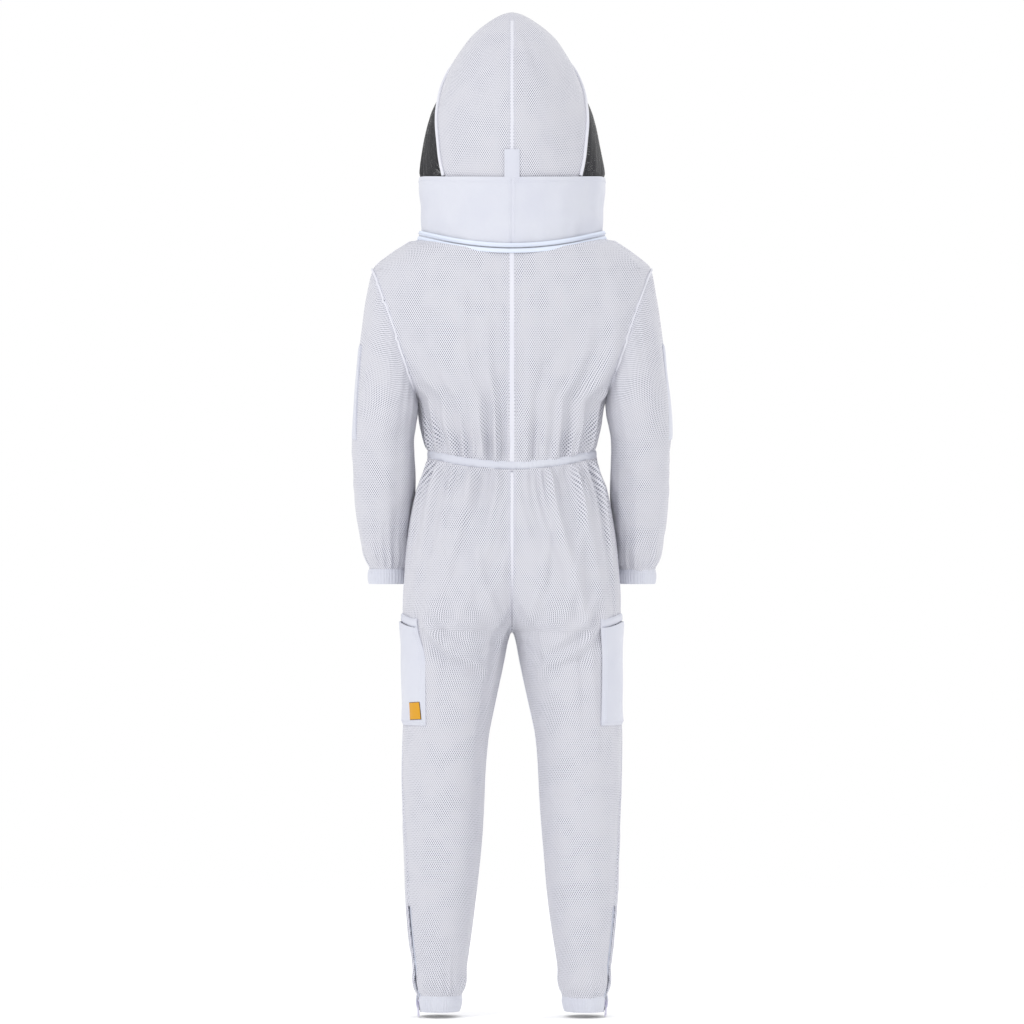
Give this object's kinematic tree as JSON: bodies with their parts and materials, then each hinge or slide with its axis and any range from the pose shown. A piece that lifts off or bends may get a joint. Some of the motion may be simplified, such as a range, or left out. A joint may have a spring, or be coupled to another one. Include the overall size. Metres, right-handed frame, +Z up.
{
  "type": "beekeeping suit",
  "caption": "Full-length ventilated beekeeping suit with zip-on veiled hood, elastic waist, wrists and ankles, side pockets and zips; limbs, hood, sliders and flap move.",
  "frame": {"origin": "middle of the neck ring, where the suit hangs on the wearer's shoulders", "axes": "+Z up, -Y the wearer's front, +X the wearer's left"},
  "size_m": [0.5766, 0.3323, 1.8058],
  "materials": {
    "spacer_mesh": "open three-layer mesh",
    "cotton": "plain twill",
    "veil_mesh": "fine see-through net",
    "elastic": "ribbed",
    "hoop_plastic": "smooth",
    "zip_tape": "woven tape with nylon coil",
    "zip_metal": "satin",
    "label_patch": "woven patch"
  },
  "bodies": {
    "torso": {"back_panel_left": "spacer_mesh", "back_panel_right": "spacer_mesh", "front_panel_left": "spacer_mesh", "front_panel_right": "spacer_mesh", "centre_back_tape": "cotton", "waist_casing": "cotton", "waist_elastic": "elastic", "seat_panel_left": "spacer_mesh", "seat_panel_right": "spacer_mesh", "hip_panel_left": "spacer_mesh", "hip_panel_right": "spacer_mesh", "front_zip_left": "zip_tape", "front_zip_right": "zip_tape", "neck_zip_lower": "zip_tape", "chest_pocket": "cotton"},
    "hood": {"hood_back_left": "spacer_mesh", "hood_back_right": "spacer_mesh", "hood_centre_tape": "cotton", "hood_tab": "cotton", "hood_piping": "cotton", "veil": "veil_mesh", "veil_hoops": "hoop_plastic", "collar_left": "cotton", "collar_right": "cotton", "neck_zip_upper": "zip_tape"},
    "front_zip_slider": {"front_zip_slider": "zip_metal"},
    "front_zip_pull": {"front_zip_pull": "zip_metal"},
    "chest_pocket_flap": {"chest_pocket_flap": "cotton"},
    "upper_sleeve_left": {"sleeve_upper_left": "spacer_mesh", "sleeve_patch_left": "cotton"},
    "lower_sleeve_left": {"sleeve_lower_left": "spacer_mesh", "wrist_cuff_left": "cotton", "wrist_elastic_left": "elastic"},
    "upper_leg_left": {"leg_upper_left": "spacer_mesh", "thigh_pocket_left": "cotton", "label_patch": "label_patch"},
    "lower_leg_left": {"leg_lower_left": "spacer_mesh", "ankle_cuff_left": "cotton", "ankle_elastic_left": "elastic", "ankle_zip_left": "zip_tape"},
    "neck_zip_slider_left": {"neck_zip_slider_left": "zip_metal"},
    "neck_zip_pull_left": {"neck_zip_pull_left": "zip_metal"},
    "ankle_zip_slider_left": {"ankle_zip_slider_left": "zip_metal"},
    "ankle_zip_pull_left": {"ankle_zip_pull_left": "zip_metal"},
    "upper_sleeve_right": {"sleeve_upper_right": "spacer_mesh", "sleeve_patch_right": "cotton"},
    "lower_sleeve_right": {"sleeve_lower_right": "spacer_mesh", "wrist_cuff_right": "cotton", "wrist_elastic_right": "elastic"},
    "upper_leg_right": {"leg_upper_right": "spacer_mesh", "thigh_pocket_right": "cotton"},
    "lower_leg_right": {"leg_lower_right": "spacer_mesh", "ankle_cuff_right": "cotton", "ankle_elastic_right": "elastic", "ankle_zip_right": "zip_tape"},
    "neck_zip_slider_right": {"neck_zip_slider_right": "zip_metal"},
    "neck_zip_pull_right": {"neck_zip_pull_right": "zip_metal"},
    "ankle_zip_slider_right": {"ankle_zip_slider_right": "zip_metal"},
    "ankle_zip_pull_right": {"ankle_zip_pull_right": "zip_metal"}
  },
  "joints": [
    {"name": "hood_flip", "type": "hinge", "parent": "torso", "child": "hood", "pos_m": [0, 0.139, -0.021], "axis": [-1, 0, 0], "range_deg": [0, 110]},
    {"name": "shoulder_left", "type": "hinge", "parent": "torso", "child": "upper_sleeve_left", "pos_m": [0.2512, 0, -0.0532], "axis": [0, -1, 0], "range_deg": [0, 60]},
    {"name": "elbow_left", "type": "hinge", "parent": "upper_sleeve_left", "child": "lower_sleeve_left", "pos_m": [0.2325, -0.0765, -0.372], "axis": [-1, 0, 0], "range_deg": [0, 100]},
    {"name": "hip_left", "type": "hinge", "parent": "torso", "child": "upper_leg_left", "pos_m": [0.1, -0.1075, -0.712], "axis": [-1, 0, 0], "range_deg": [0, 90]},
    {"name": "knee_left", "type": "hinge", "parent": "upper_leg_left", "child": "lower_leg_left", "pos_m": [0.124, 0.0757, -1.01], "axis": [1, 0, 0], "range_deg": [0, 110]},
    {"name": "shoulder_right", "type": "hinge", "parent": "torso", "child": "upper_sleeve_right", "pos_m": [-0.2512, 0, -0.0532], "axis": [0, 1, 0], "range_deg": [0, 60]},
    {"name": "elbow_right", "type": "hinge", "parent": "upper_sleeve_right", "child": "lower_sleeve_right", "pos_m": [-0.2325, -0.0765, -0.372], "axis": [-1, 0, 0], "range_deg": [0, 100]},
    {"name": "hip_right", "type": "hinge", "parent": "torso", "child": "upper_leg_right", "pos_m": [-0.1, -0.1075, -0.712], "axis": [-1, 0, 0], "range_deg": [0, 90]},
    {"name": "knee_right", "type": "hinge", "parent": "upper_leg_right", "child": "lower_leg_right", "pos_m": [-0.124, 0.0757, -1.01], "axis": [1, 0, 0], "range_deg": [0, 110]},
    {"name": "front_zip_slide", "type": "slide", "parent": "torso", "child": "front_zip_slider", "axis": [0, 0, -1], "range_m": [0, 0.462]},
    {"name": "front_pull_swing", "type": "hinge", "parent": "front_zip_slider", "child": "front_zip_pull", "pos_m": [0, -0.1354, -0.044], "axis": [-1, 0, 0], "range_deg": [0, 160]},
    {"name": "neck_zip_slide_left", "type": "hinge", "parent": "torso", "child": "neck_zip_slider_left", "pos_m": [0, 0.04432, 0.04935], "axis": [0, -0.3706, 0.9288], "range_deg": [0, 8]},
    {"name": "neck_pull_swing_left", "type": "hinge", "parent": "neck_zip_slider_left", "child": "neck_zip_pull_left", "pos_m": [0.01911, -0.13998, -0.02418], "axis": [0, 0.3706, -0.9288], "range_deg": [0, 160]},
    {"name": "neck_zip_slide_right", "type": "hinge", "parent": "torso", "child": "neck_zip_slider_right", "pos_m": [0, 0.04432, 0.04935], "axis": [0, 0.3706, -0.9288], "range_deg": [0, 8]},
    {"name": "neck_pull_swing_right", "type": "hinge", "parent": "neck_zip_slider_right", "child": "neck_zip_pull_right", "pos_m": [-0.01911, -0.13998, -0.02418], "axis": [0, -0.3706, 0.9288], "range_deg": [0, 160]},
    {"name": "ankle_zip_slide_left", "type": "slide", "parent": "lower_leg_left", "child": "ankle_zip_slider_left", "axis": [0.0985, 0.0226, 0.9949], "range_m": [0, 0.158]},
    {"name": "ankle_pull_swing_left", "type": "hinge", "parent": "ankle_zip_slider_left", "child": "ankle_zip_pull_left", "pos_m": [0.16985, 0.03205, -1.37128], "axis": [0.3117, -0.9501, -0.0093], "range_deg": [0, 160]},
    {"name": "ankle_zip_slide_right", "type": "slide", "parent": "lower_leg_right", "child": "ankle_zip_slider_right", "axis": [-0.0985, 0.0226, 0.9949], "range_m": [0, 0.158]},
    {"name": "ankle_pull_swing_right", "type": "hinge", "parent": "ankle_zip_slider_right", "child": "ankle_zip_pull_right", "pos_m": [-0.16985, 0.03205, -1.37128], "axis": [0.3117, 0.9501, 0.0093], "range_deg": [0, 160]},
    {"name": "chest_flap_lift", "type": "hinge", "parent": "torso", "child": "chest_pocket_flap", "pos_m": [0.09807, -0.13377, -0.1], "axis": [-0.9774, -0.2115, 0], "range_deg": [0, 100]}
  ]
}
